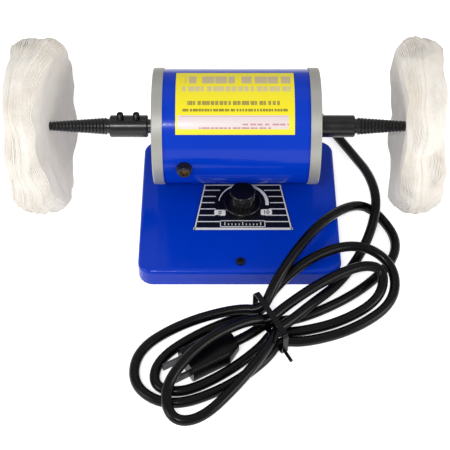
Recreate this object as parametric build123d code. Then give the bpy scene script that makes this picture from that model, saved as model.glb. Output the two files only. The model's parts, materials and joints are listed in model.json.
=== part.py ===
from build123d import *
import os
from math import copysign, cos, pi, radians, sin, tan

# Bench polisher: a tube-bodied brush motor on a low painted base, with a tapered threaded spindle
# and a cotton buff at each end of its shaft, a speed knob on the base and a tied-up mains lead.
# Millimetres. While it is modelled, X runs along the shaft from the middle of the motor tube,
# Y is measured back from the shaft and Z up from the bench. Export moves the origin to the middle
# of the footprint.

# Fits
slip = 0.1            # pieces that slide together and stay still
running_fit = 0.05    # radial room of a turning shaft in its bush
ball_room = 0.2       # room of the balls in their races

# Base
foot_height = 3.0
foot_diameter = 16.0
foot_inset = 18.0
foot_screw = 3.2
foot_screw_head = 6.0
foot_screw_tail = 1.5
base_width = 144.5
base_depth = 129.0
base_height = 14.5
base_sheet = 2.0
base_corner = 11.0
base_edge = 3.0
base_front = 92.4     # front edge of the base ahead of the shaft
base_shift = 2.5      # middle of the base to the right of the motor's middle
cover_sheet = 1.5
cover_screw = 4.0
cover_screw_head = 6.5
cover_screw_x = 3.1
cover_screw_front_inset = 8.9
cover_screw_back_inset = 7.6
cover_screw_back_x = -18.0
pillar_diameter = 8.0
base_top = foot_height + base_height
base_ceiling = base_top - base_sheet
cover_top = foot_height + cover_sheet
base_middle = base_depth / 2 - base_front
cover_screw_front = base_front - cover_screw_front_inset
cover_screw_back = base_depth - base_front - cover_screw_back_inset

# Motor shell
axis_rise = 52.0      # shaft above the top of the base
tube_diameter = 81.8
tube_wall = 2.0
tube_length = 102.4
bell_proud = 0.9      # bell's rim outside the tube's surface
bell_rim = 7.6        # width of the end bell's rim outside the tube
bell_wall = 3.0
bell_spigot = 6.0
bell_dish = 4.0       # depth of the dished outer face
bell_web = 4.0
vent_count = 8
vent_width = 5.0
vent_margin = 2.0     # vents to the bearing's boss
vent_clear = 3.5      # vents to the middle of the long bolts
saddle_length = 66.0
saddle_depth = 18.0
saddle_bolt = 5.0
saddle_bolt_head = 8.5
saddle_bolt_inset = 6.0
saddle_nut_thickness = 4.0
saddle_nut_length = 10.0
tie_bolt = 4.0
tie_bolt_head = 7.0
tie_bolt_inset = 4.0  # middle of each long bolt inside the tube's bore
tie_bolt_angle = 20.0
label_left = -42.0
label_right = 40.0
label_low = 36.8      # angle of the label's lower edge above the front of the tube
label_high = 109.5
label_thickness = 0.25
axis_height = base_top + axis_rise
tube_radius = tube_diameter / 2
tube_bore = tube_diameter - 2 * tube_wall
tube_end = tube_length / 2
bell_diameter = tube_diameter + 2 * bell_proud
saddle_bolt_spacing = saddle_length - 2 * saddle_bolt_inset
tie_bolt_circle = tube_bore - 2 * tie_bolt_inset
vent_outer = tie_bolt_circle / 2 - vent_clear
bell_face = tube_end + bell_rim
web_face = bell_face - bell_dish

# Shaft and ball bearings, 10 x 30 x 9 mm
journal = 10.0
bearing_outside = 30.0
bearing_width = 9.0
bearing_lip = 1.0
ball_diameter = 4.6
ball_count = 8
race_thickness = 2.6
cage_thickness = 1.2
cage_width = 6.4
boss_wall = 3.5
shaft_body = 12.0
bearing_out = web_face - bearing_lip
bearing_in = bearing_out - bearing_width
pitch_radius = (journal + bearing_outside) / 4
vent_inner = bearing_outside / 2 + boss_wall + vent_margin

# Armature and field, in proportion to the tube
rotor_diameter = 0.55 * tube_diameter
rotor_left = -21.0
rotor_right = 19.0
rotor_slots = 12
rotor_slot_width = 3.0
rotor_slot_depth = 8.0
winding_reach = 7.0
winding_inner = 18.0
winding_depth = 3.0   # windings below the rotor's surface
air_gap = 0.5
pole_thickness = 0.0375 * tube_diameter
pole_half_angle = 45.0
pole_neck = 0.3 * tube_diameter
yoke_wall = 4.0
yoke_side = 9.5       # thicker sides, which the long bolts pass through
coil_width = 0.075 * tube_diameter
coil_height = 0.05 * tube_diameter
coil_room = 0.5
commutator_diameter = 24.0
commutator_length = 12.0
commutator_bars = 24
riser_diameter = 27.0
riser_width = 1.5
fan_room = 8.0        # fan to the tube's bore
fan_left = 31.0
fan_width = 10.0
fan_hub = 18.0
fan_plate = 2.0
fan_blades = 9
fan_blade = 1.5
winding_outer = rotor_diameter - 2 * winding_depth
yoke_bore = tube_bore - 2 * yoke_wall
yoke_flat = tube_bore / 2 - yoke_side
coil_side = pole_neck / 2 + coil_room + coil_width
coil_rise = ((yoke_bore / 2 - coil_room) ** 2 - coil_side ** 2) ** 0.5 - coil_height
fan_diameter = tube_bore - 2 * fan_room

# Brush gear
brush_x = -36.3
brush_holder = 9.8
brush_flange = 11.0
brush_flange_rise = 2.5
brush_bore = 8.2
brush_wide = 5.0
brush_high = 6.0
brush_length = 14.0
brush_room = 0.3      # brush tip to commutator
brush_cap = 9.4
brush_cap_rise = 2.8
brush_cap_depth = 6.2
brush_contact = 5.2
spring_wire = 0.6
spring_diameter = 5.0
spring_turns = 6

# Spindles and buffs
collar_diameter = 16.0
collar_length = 27.3
left_collar = 63.3    # inner end of each collar from the middle of the motor
right_collar = 58.0
shaft_depth = 20.0    # shaft inside the collar
neck_diameter = 10.8
neck_length = 2.2
taper_root = 12.5
taper_tip = 3.6
taper_length = 60.0
thread_pitch = 2.5
thread_depth = 0.45
collar_screw = 4.8
collar_screw_rise = 4.5
collar_screw_places = (7.9, 19.4)
left_screw_turn = 0.0
right_screw_turn = -130.0
buff_diameter = 125.0
buff_round = 7.0
buff_hub = 28.0
buff_fan = 88.0       # across the part where the cloths have fanned out to their full width
buff_hub_width = 12.0
left_buff = 127.0     # inner face of each buff's rim from the middle of the motor
right_buff = 114.5
left_buff_width = 26.0
right_buff_width = 30.0
left_buff_lean = 6.5  # the loose left buff turns its inner face up and to the front
right_buff_lean = 0.0
lean_rise = 50.0      # how far above the front horizontal it leans

# Speed control
knob_x = 4.9
knob_front = 29.8
knob_skirt = 27.5
knob_skirt_height = 3.0
knob_body = 20.0
knob_top = 18.0
knob_height = 14.5
knob_flutes = 18
knob_flute = 1.6
knob_room = 0.5
knob_screw = 3.0
dial_thickness = 0.4
dial_back_width = 57.6
dial_front_width = 72.0
dial_back = 9.8
dial_front = 54.1
dial_x = 5.2
pot_diameter = 17.0
pot_height = 7.5
pot_bush = 7.0
pot_bush_height = 7.0
pot_nut = 10.0
pot_nut_height = 2.0
pot_shaft = 6.0
pot_shaft_height = 13.0
board_width = 54.0
board_depth = 36.0
board_sheet = 1.6
board_side_gap = 3.75 # board to the base's left wall
board_front_gap = 9.4 # board to the base's front wall
board_stand = 2.0
board_post = 6.0
board_pin = 3.0
board_post_inset = 4.0
board_x = base_shift - base_width / 2 + base_sheet + board_side_gap + board_width / 2
board_front = base_front - base_sheet - board_front_gap - board_depth / 2
triac_width = 10.0
triac_depth = 9.0
triac_height = 4.4
triac_tab = 1.4
choke_radius = 5.5
choke_winding = 2.5
capacitor_length = 18.0
capacitor_width = 7.0
capacitor_height = 6.0

# Motor leads
lead_sleeve = 7.0
lead_room = 3.5       # sleeve to the saddle
lead_x = -(saddle_length / 2 + lead_sleeve / 2 + lead_room)
lead_wire = 1.8
lead_spacing = 2.4

# Mains lead
cord_diameter = 7.2
cord_floor = 0.2      # lead above the bench
relief_x = 8.0
relief_rise = 9.8
relief_neck = 10.0
relief_flange = 13.0
relief_flange_width = 2.0
relief_inside = 5.0
relief_length = 20.0
relief_tip = 8.8
relief_rings = 4
plug_width = 22.0
plug_height = 15.0
plug_length = 38.0
plug_neck = 10.0       # taper from the cord to the full body
plug_neck_width = 12.0
plug_neck_height = 11.0
plug_rear = 28.0      # rear of the plug from the tie
plug_lift = 0.3
plug_turn = 210.0     # direction the plug points
blade_width = 6.3
blade_thickness = 1.5
blade_length = 14.0
blade_spacing = 12.7
cord_run_share = 0.45

# The bundle's waist, where the tie holds it, and how its strands pack there
waist_x = 23.0
waist_y = -131.0
waist_turn = 28.0     # the bundle's direction at the waist
strand_pitch = 8.4
tie_band = 1.0
tie_width = 4.0
tie_room = 0.4
tie_tail = 9.0
tie_tail_diameter = 2.4

pieces = {}


def keep(name, shape):
    """Keep a finished piece under its node name, in the drawing's coordinates."""
    pieces[name] = shape


def rod_x(diameter, start, end):
    """A round bar along X."""
    return Pos((start + end) / 2, 0, 0) * Rot(0, 90, 0) * Cylinder(diameter / 2, end - start)


def rod_y(diameter, start, end):
    """A round bar along Y."""
    return Pos(0, (start + end) / 2, 0) * Rot(90, 0, 0) * Cylinder(diameter / 2, end - start)


def rod_z(diameter, start, end):
    """A round bar along Z."""
    return Pos(0, 0, (start + end) / 2) * Cylinder(diameter / 2, end - start)


def ring_x(outside, inside, start, end):
    """A round sleeve along X."""
    return rod_x(outside, start, end) - rod_x(inside, start - 1, end + 1)


def turned_x(*points):
    """A solid of revolution about X from a closed outline of (x, radius) points."""
    return revolve(Plane.XY * make_face(Polyline(*points, close=True)), Axis.X)


def on_axis(shape):
    """Lift a piece drawn about the shaft's line to the shaft's height."""
    return Pos(0, 0, axis_height) * shape


def mirror_x(shape):
    """The same piece for the other end of the motor."""
    return mirror(shape, Plane.YZ)


def around_x(shape, count, start=0.0):
    """Copies of a shape spread evenly round the shaft's line."""
    return [Rot(start + 360 * i / count, 0, 0) * shape for i in range(count)]


def at_foot(i):
    """Plan place of one of the four feet."""
    side = 1 if i % 2 else -1
    end = 1 if i // 2 else -1
    return (base_shift + side * (base_width / 2 - foot_inset),
            base_middle + end * (base_depth / 2 - foot_inset))


cover_screw_places = [(cover_screw_x, -cover_screw_front), (cover_screw_back_x, cover_screw_back)]
saddle_bolt_places = [(-saddle_bolt_spacing / 2, 0), (saddle_bolt_spacing / 2, 0)]
foot_places = [at_foot(i) for i in range(4)]


def base_block(shrink, height):
    """The base's outline, drawn in by a margin, as a block."""
    outline = RectangleRounded(base_width - 2 * shrink, base_depth - 2 * shrink, base_corner - shrink)
    return Pos(base_shift, base_middle, 0) * extrude(outline, height)


def base_pieces():
    """Painted pan, its bottom cover, the screws and pillars that join them, and the feet."""
    outer = base_block(0, base_height)
    outer = fillet(outer.edges().group_by(Axis.Z)[-1], base_edge)
    inner = base_block(base_sheet, base_height - base_sheet)
    pan = Pos(0, 0, foot_height) * (outer - inner)
    through = (base_ceiling - 1, base_top + 1)
    for x, y in saddle_bolt_places:
        pan -= Pos(x, y, 0) * rod_z(saddle_bolt + 4 * slip, *through)
    for x, y in cover_screw_places:
        pan -= Pos(x, y, 0) * rod_z(cover_screw + 2 * slip, *through)
    pan -= Pos(knob_x, -knob_front, 0) * rod_z(pot_bush + 2 * slip, *through)
    pan -= Pos(lead_x, 0, 0) * rod_z(lead_sleeve + 2 * slip, *through)
    back = base_middle + base_depth / 2
    pan -= Pos(relief_x, 0, relief_rise) * rod_y(relief_neck + 2 * slip, back - base_sheet - 1, back + 1)
    keep("base_pan", pan)

    cover = Pos(0, 0, foot_height) * base_block(base_sheet + 2 * slip, cover_sheet)
    for x, y in cover_screw_places:
        cover -= Pos(x, y, 0) * rod_z(cover_screw + 2, foot_height - 1, cover_top + 1)
    for x, y in foot_places:
        cover -= Pos(x, y, 0) * rod_z(foot_screw + 2 * slip, foot_height - 1, cover_top + 1)
    for x, y in board_posts():
        cover -= Pos(x, y, 0) * rod_z(board_pin + 2 * slip, foot_height - 1, cover_top + 1)
    keep("base_cover", cover)

    pillar = rod_z(pillar_diameter, cover_top, base_ceiling)
    pillar += rod_z(cover_screw + 2 - 2 * slip, foot_height, cover_top)
    pillar -= rod_z(cover_screw + 2 * slip, cover_top + base_sheet, base_ceiling + 1)
    keep("cover_pillars", Compound([Pos(x, y, 0) * pillar for x, y in cover_screw_places]))

    screw = rod_z(cover_screw, cover_top + 2 * base_sheet, base_top)
    screw += rod_z(cover_screw_head, base_top, base_top + cover_screw / 2)
    screw = fillet(screw.edges().group_by(Axis.Z)[-1], cover_screw / 5)
    for turn in (0, 90):
        slot = Rot(0, 0, turn) * Box(cover_screw_head * 0.55, cover_screw / 5, cover_screw / 2)
        screw -= Pos(0, 0, base_top + cover_screw / 2) * slot
    keep("cover_screws", Compound([Pos(x, y, 0) * screw for x, y in cover_screw_places]))

    foot = Pos(0, 0, foot_height / 2) * Cone(foot_diameter / 2 - 1, foot_diameter / 2, foot_height)
    recess = foot_height * 0.55
    foot -= rod_z(foot_screw_head + 1, -1, recess)
    foot -= rod_z(foot_screw + 2 * slip, -1, foot_height + 1)
    keep("rubber_feet", Compound([Pos(x, y, 0) * foot for x, y in foot_places]))

    peg = rod_z(foot_screw, recess, cover_top + foot_screw_tail)
    peg += rod_z(foot_screw_head, recess - foot_height * 0.4, recess)
    keep("foot_screws", Compound([Pos(x, y, 0) * peg for x, y in foot_places]))


def saddle_pieces():
    """Cast saddle under the tube, its two bolts and the nut plates inside the tube."""
    block = Pos(0, 0, (base_top + axis_height) / 2) * Box(saddle_length, saddle_depth, axis_rise)
    block = fillet(block.edges().filter_by(Axis.Z), saddle_depth / 6)
    block -= on_axis(rod_x(tube_diameter + slip, -saddle_length, saddle_length))
    nut_top = axis_height - tube_bore / 2 + saddle_nut_thickness
    for x, y in saddle_bolt_places:
        block -= Pos(x, y, 0) * rod_z(saddle_bolt + 4 * slip, base_top - 1, axis_height)
    keep("motor_saddle", block)

    bolt = rod_z(saddle_bolt, base_ceiling, nut_top + 1)
    bolt += rod_z(saddle_bolt_head, base_ceiling - saddle_bolt * 0.65, base_ceiling)
    hexagon = extrude(RegularPolygon(saddle_bolt * 0.4, 6), saddle_bolt * 0.4)
    bolt -= Pos(0, 0, base_ceiling - saddle_bolt * 0.65) * hexagon
    keep("saddle_bolts", Compound([Pos(x, y, 0) * bolt for x, y in saddle_bolt_places]))

    sleeve = ring_x(tube_bore - slip, tube_bore - 2 * saddle_nut_thickness,
                    -saddle_nut_length / 2, saddle_nut_length / 2)
    plate = on_axis(sleeve) & Pos(0, 0, base_top) * Box(saddle_nut_length, saddle_depth, axis_rise)
    plate -= rod_z(saddle_bolt + 2 * slip, base_top, axis_height)
    keep("saddle_nuts", Compound([Pos(x, y, 0) * plate for x, y in saddle_bolt_places]))


def tie_bolt_places():
    """(y, z) of the four long bolts, beside the brush gear at the front and the back."""
    radius = tie_bolt_circle / 2
    up = radius * sin(radians(tie_bolt_angle))
    out = radius * cos(radians(tie_bolt_angle))
    return [(out, up), (-out, up), (-out, -up), (out, -up)]


def motor_shell():
    """Steel tube, two cast end bells, the long bolts that clamp them, and the blank label."""
    tube = ring_x(tube_diameter, tube_bore, -tube_end, tube_end)
    for side in (-1, 1):
        tube -= Pos(brush_x, 0, 0) * rod_y(brush_holder + 2 * slip, *sorted((0, side * tube_diameter)))
    for x, y in saddle_bolt_places:
        tube -= Pos(x, y, 0) * rod_z(saddle_bolt + 4 * slip, -tube_diameter, 0)
    tube -= Pos(lead_x, 0, 0) * rod_z(lead_sleeve + 2 * slip, -tube_diameter, 0)
    keep("motor_tube", on_axis(tube))

    bell = ring_x(bell_diameter, bell_diameter - 2 * bell_wall, tube_end, bell_face)
    bell = fillet(bell.edges().group_by(Axis.X)[-1], bell_wall / 3)
    spigot_bore = tube_bore - 2 * bell_wall
    bell += ring_x(tube_bore - 2 * slip, spigot_bore, tube_end - bell_spigot, web_face - bell_web / 2)
    bell += rod_x(bell_diameter - bell_wall, web_face - bell_web, web_face)
    bell -= rod_x(tube_diameter + 2 * slip, 0, tube_end) - rod_x(tube_bore - 2 * slip, 0, tube_end)
    bell += rod_x(bearing_outside + 2 * boss_wall, bearing_in, web_face)
    bell -= rod_x(bearing_outside + slip, bearing_in - 1, bearing_out)
    bell -= rod_x(journal + 2, bearing_out - 1, web_face + 1)
    slot = Pos(0, 0, (vent_inner + vent_outer) / 2) * Box(4 * bell_web, vent_width, vent_outer - vent_inner)
    slot = fillet(slot.edges().filter_by(Axis.X), vent_width * 0.45)
    for vent in around_x(Pos(web_face, 0, 0) * slot, vent_count, 180 / vent_count):
        bell -= vent
    for y, z in tie_bolt_places():
        bell -= Pos(0, y, z) * rod_x(tie_bolt + 2 * slip, 0, bell_face)
    keep("right_end_bell", on_axis(bell))
    keep("left_end_bell", on_axis(mirror_x(bell)))

    bolt = rod_x(tie_bolt, -web_face, web_face + tie_bolt)
    bolt += rod_x(tie_bolt_head, -web_face - tie_bolt * 0.7, -web_face)
    bolt -= Pos(-web_face - tie_bolt * 0.7, 0, 0) * Box(tie_bolt * 0.6, tie_bolt_head + 1, 1)
    keep("tie_bolts", on_axis(Compound([Pos(0, y, z) * bolt for y, z in tie_bolt_places()])))
    nut = Rot(0, 90, 0) * extrude(RegularPolygon(tie_bolt_head / 2, 6), tie_bolt * 0.7)
    nut -= rod_x(tie_bolt + slip, -1, tie_bolt)
    keep("tie_nuts", on_axis(Compound([Pos(web_face, y, z) * nut for y, z in tie_bolt_places()])))

    sheet = ring_x(tube_diameter + 2 * label_thickness + slip, tube_diameter + slip, label_left, label_right)
    wedge_radius = tube_diameter
    low = radians(180 - label_low)
    high = radians(180 - label_high)
    middle = (low + high) / 2
    corners = [(0, 0)]
    for angle in (low, middle, high):
        corners.append((wedge_radius * cos(angle), wedge_radius * sin(angle)))
    wedge = extrude(Plane.YZ * make_face(Polyline(*corners, close=True)), tube_length / 2, both=True)
    keep("tube_label", on_axis(sheet & wedge))


def bearing(side, place):
    """One ball bearing of the shaft: two races, the balls and their cage."""
    half = bearing_width / 2
    middle = (bearing_in + bearing_out) / 2
    groove = Rot(0, 90, 0) * Torus(pitch_radius, ball_diameter / 2 + ball_room)
    inner = ring_x(journal + 2 * race_thickness, journal + 0.2 * slip, -half, half) - groove
    outer = ring_x(bearing_outside, bearing_outside - 2 * race_thickness, -half, half) - groove
    ball = Pos(0, 0, pitch_radius) * Sphere(ball_diameter / 2)
    pocket = Pos(0, 0, pitch_radius) * Sphere(ball_diameter / 2 + ball_room)
    cage = ring_x(2 * pitch_radius + cage_thickness, 2 * pitch_radius - cage_thickness,
                  -cage_width / 2, cage_width / 2)
    for hole in around_x(pocket, ball_count):
        cage -= hole
    rolling = Compound(around_x(ball, ball_count) + [cage])
    for name, shape in (("inner_race", inner), ("outer_race", outer), ("ball_set", rolling)):
        keep(f"{side}_bearing_{name}", on_axis(Pos(place * middle, 0, 0) * shape))


def field():
    """Laminated stator with two poles, and a coil round each pole."""
    length = rotor_right - rotor_left
    middle = (rotor_left + rotor_right) / 2
    shoe_bore = rotor_diameter + 2 * air_gap
    shoe_outside = shoe_bore + 2 * pole_thickness
    yoke = rod_x(tube_bore - 2 * slip, rotor_left, rotor_right)
    inside = rod_x(yoke_bore, rotor_left - 1, rotor_right + 1)
    yoke -= inside & Pos(middle, 0, 0) * Box(2 * length, 2 * yoke_flat, 2 * yoke_bore)
    shoe_half = shoe_outside / 2 * sin(radians(pole_half_angle))
    shoe = rod_x(shoe_outside, rotor_left, rotor_right)
    shoe &= Pos(middle, 0, 0) * Box(length, 2 * shoe_half, shoe_outside)
    neck = Pos(middle, 0, 0) * Box(length, pole_neck, yoke_bore + 1)
    yoke += shoe + neck
    yoke -= rod_x(shoe_bore, rotor_left - 1, rotor_right + 1)
    for y, z in tie_bolt_places():
        yoke -= Pos(0, y, z) * rod_x(tie_bolt + 4 * slip, rotor_left - 1, rotor_right + 1)
    nut_room = Box(saddle_nut_length + 2 * coil_room, saddle_depth + 2 * coil_room, 3 * saddle_nut_thickness)
    for x, y in saddle_bolt_places:
        yoke -= Pos(x, y, -tube_bore / 2) * nut_room
    keep("stator_core", on_axis(yoke))

    bore_x = length + 2 * coil_room
    bore_y = pole_neck + 2 * coil_room
    ring = RectangleRounded(bore_x + 2 * coil_width, bore_y + 2 * coil_width, coil_width)
    ring -= Rectangle(bore_x, bore_y)
    coil = Pos(middle, 0, coil_rise) * extrude(ring, coil_height)
    keep("field_coils", on_axis(Compound([coil, Rot(180, 0, 0) * coil])))


def armature():
    """Shaft, slotted core, windings, commutator and cooling fan."""
    left_tip = -(left_collar + shaft_depth)
    right_tip = right_collar + shaft_depth
    shaft = rod_x(journal, left_tip, right_tip)
    shaft = chamfer(shaft.edges().filter_by(GeomType.CIRCLE), journal / 10)
    shaft += rod_x(shaft_body, -bearing_in, bearing_in)
    keep("armature_shaft", on_axis(shaft))

    core = ring_x(rotor_diameter, shaft_body + slip, rotor_left, rotor_right)
    length = rotor_right - rotor_left
    middle = (rotor_left + rotor_right) / 2
    slot_low = rotor_diameter / 2 - rotor_slot_depth
    cut = Box(length + 2, rotor_slot_width, 2 * rotor_slot_depth)
    cut = Pos(middle, 0, slot_low + rotor_slot_depth) * cut
    for slot in around_x(cut, rotor_slots):
        core -= slot
    keep("armature_core", on_axis(core))

    head = turned_x((0, winding_inner / 2), (winding_reach * 0.6, winding_inner / 2),
                    (winding_reach, winding_inner / 2 + 2), (winding_reach, winding_outer / 2 - 3),
                    (winding_reach * 0.6, winding_outer / 2), (0, winding_outer / 2))
    windings = Pos(rotor_right + slip, 0, 0) * head + Pos(rotor_left - slip, 0, 0) * mirror_x(head)
    bar_high = winding_outer / 2 - slot_low - 2 * slip
    bar = Box(length + 4 * slip, rotor_slot_width - 2 * slip, bar_high)
    bar = Pos(middle, 0, slot_low + slip + bar_high / 2) * bar
    for wire in around_x(bar, rotor_slots):
        windings += wire
    keep("armature_windings", on_axis(windings))

    start = brush_x - commutator_length / 2
    end = brush_x + commutator_length / 2
    drum = ring_x(commutator_diameter, shaft_body + slip, start, end)
    drum += ring_x(riser_diameter, shaft_body + slip, end, end + riser_width)
    groove = Pos((start + end) / 2, 0, commutator_diameter / 2) * Box(2 * commutator_length, 0.5, 1.2)
    for gap in around_x(groove, commutator_bars):
        drum -= gap & rod_x(commutator_diameter + 1, start - 1, end)
    keep("commutator", on_axis(drum))

    fan = ring_x(fan_diameter, shaft_body + slip, fan_left, fan_left + fan_plate)
    fan += ring_x(fan_hub, shaft_body + slip, fan_left, fan_left + fan_width)
    reach = fan_diameter / 2 - fan_hub / 2
    blade = Box(fan_width - fan_plate, fan_blade, reach)
    blade = Pos(fan_left + (fan_width + fan_plate) / 2, 0, fan_hub / 2 + reach / 2 - 0.5) * blade
    for vane in around_x(blade, fan_blades):
        fan += vane
    keep("cooling_fan", on_axis(fan))


def spring_coil(start, end):
    """A small compression spring along Y."""
    height = end - start
    path = Helix(height / spring_turns, height, spring_diameter / 2)
    wire = sweep(Plane(path @ 0, z_dir=path % 0) * Circle(spring_wire / 2), path)
    return Pos(0, start, 0) * Rot(-90, 0, 0) * wire


def brush_gear(side, turn):
    """One carbon brush with its holder, spring, brass contact and screw cap, at the front or back."""
    flange = tube_radius + brush_flange_rise
    tip = commutator_diameter / 2 + brush_room
    inner_end = tip + brush_length * 0.2
    brush_back = tip + brush_length
    contact = flange - brush_cap_depth
    seat = rod_y(brush_flange, tube_radius - brush_flange_rise, flange)
    seat -= rod_x(tube_diameter + slip, -brush_flange, brush_flange)
    holder = rod_y(brush_holder, inner_end, flange) + seat
    holder -= rod_y(brush_bore, brush_back, flange + 1)
    window = Box(brush_wide + 4 * slip, brush_length + 2, brush_high + 4 * slip)
    holder -= Pos(0, tip + brush_length / 2, 0) * window
    brush = Pos(0, tip + brush_length / 2, 0) * Box(brush_wide, brush_length, brush_high)
    brush -= rod_x(commutator_diameter + 2 * brush_room, -brush_wide, brush_wide)
    cap = rod_y(brush_cap, flange, flange + brush_cap_rise)
    cap = fillet(cap.edges().group_by(Axis.Y)[-1], brush_cap_rise / 5)
    cap += rod_y(brush_bore - 2 * slip, contact + 1, flange)
    cap -= rod_y(brush_contact, contact, flange + brush_cap_rise + 1)
    plug = rod_y(brush_contact - slip, contact, flange + brush_cap_rise * 0.6)
    plug += rod_y(brush_bore - 2 * slip, contact, contact + 1 - slip)
    plug -= Pos(0, flange + brush_cap_rise * 0.6, 0) * Box(brush_contact + 1, brush_cap_rise / 2, 1)
    spring = spring_coil(brush_back + spring_wire / 2 + slip, contact - spring_wire / 2 - slip)
    place = Pos(brush_x, 0, axis_height) * Rot(turn, 0, 0)
    for name, shape in (("holder", holder), ("spring", spring), ("cap", cap)):
        keep(f"{side}_brush_{name}", place * shape)
    keep(f"{side}_carbon_brush", place * brush)
    return place * plug


def taper_radius(along):
    """Outside radius of the threaded taper at a distance from its root."""
    return (taper_root + (taper_tip - taper_root) * along / taper_length) / 2


def spindle(side, start, screw_turn, buff_face, buff_width, buff_lean):
    """One screwed-on tapered spindle with its two collar screws and its buff, for the right end."""
    collar_end = start + collar_length
    root = collar_end + neck_length
    outline = [(start, 0), (start, collar_diameter / 2 - 0.8), (start + 0.8, collar_diameter / 2),
               (collar_end - 0.8, collar_diameter / 2), (collar_end, collar_diameter / 2 - 0.8),
               (collar_end, neck_diameter / 2), (root, neck_diameter / 2)]
    turns = int(taper_length / thread_pitch) - 1
    for i in range(turns):
        along = i * thread_pitch
        crest = along + thread_pitch * 0.55
        valley = along + thread_pitch * 0.8
        outline.append((root + along, taper_radius(along)))
        outline.append((root + crest, taper_radius(crest)))
        outline.append((root + valley, taper_radius(valley) - thread_depth))
    outline.append((root + turns * thread_pitch, taper_radius(turns * thread_pitch)))
    outline.append((root + taper_length - taper_tip / 2, taper_tip / 2))
    outline.append((root + taper_length, taper_tip / 4))
    outline.append((root + taper_length, 0))
    body = turned_x(*outline)
    body -= rod_x(journal + 0.2 * slip, start - 1, start + shaft_depth + slip)
    places = [start + along for along in collar_screw_places]
    for x in places:
        body -= Rot(screw_turn, 0, 0) * Pos(x, 0, 0) * rod_z(collar_screw + 2 * slip, 0, collar_diameter)
    screw = rod_z(collar_screw, journal / 2 + slip, collar_diameter / 2 + collar_screw_rise)
    screw = chamfer(screw.edges().group_by(Axis.Z)[-1], collar_screw / 10)
    slot = Box(collar_screw + 1, collar_screw / 5, collar_screw / 2)
    screw -= Pos(0, 0, collar_diameter / 2 + collar_screw_rise) * slot
    screws = Compound([Rot(screw_turn, 0, 0) * Pos(x, 0, 0) * screw for x in places])

    rim, fan, hub = buff_diameter / 2, buff_fan / 2, buff_hub / 2
    back = buff_face + buff_width
    middle = (buff_face + back) / 2
    hub_face, hub_back = middle - buff_hub_width / 2, middle + buff_hub_width / 2
    profile = make_face(Polyline((hub_face, 0), (hub_face, hub), (buff_face, fan), (buff_face, rim),
                                 (back, rim), (back, fan), (hub_back, hub), (hub_back, 0), close=True))
    profile = fillet(profile.vertices().sort_by(Axis.Y)[-2:], buff_round)
    rise = radians(lean_rise)
    hinge = Axis((middle, 0, 0), (0, sin(rise), cos(rise)))
    buff = revolve(profile, Axis.X).rotate(hinge, buff_lean)
    bore_start, bore_end = buff_face - buff_round, back + buff_round
    buff -= turned_x((bore_start, 0), (bore_start, taper_radius(bore_start - root) + slip),
                     (bore_end, taper_radius(bore_end - root) + slip), (bore_end, 0))
    turn_round = mirror_x if side == "left" else (lambda shape: shape)
    keep(f"{side}_spindle", on_axis(turn_round(body)))
    keep(f"{side}_collar_screws", on_axis(turn_round(screws)))
    keep(f"{side}_buff", on_axis(turn_round(buff)))


def board_posts():
    """Plan places of the four posts that hold the control board."""
    return [(board_x + side * (board_width / 2 - board_post_inset),
             -board_front + end * (board_depth / 2 - board_post_inset))
            for end in (-1, 1) for side in (-1, 1)]


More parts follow.
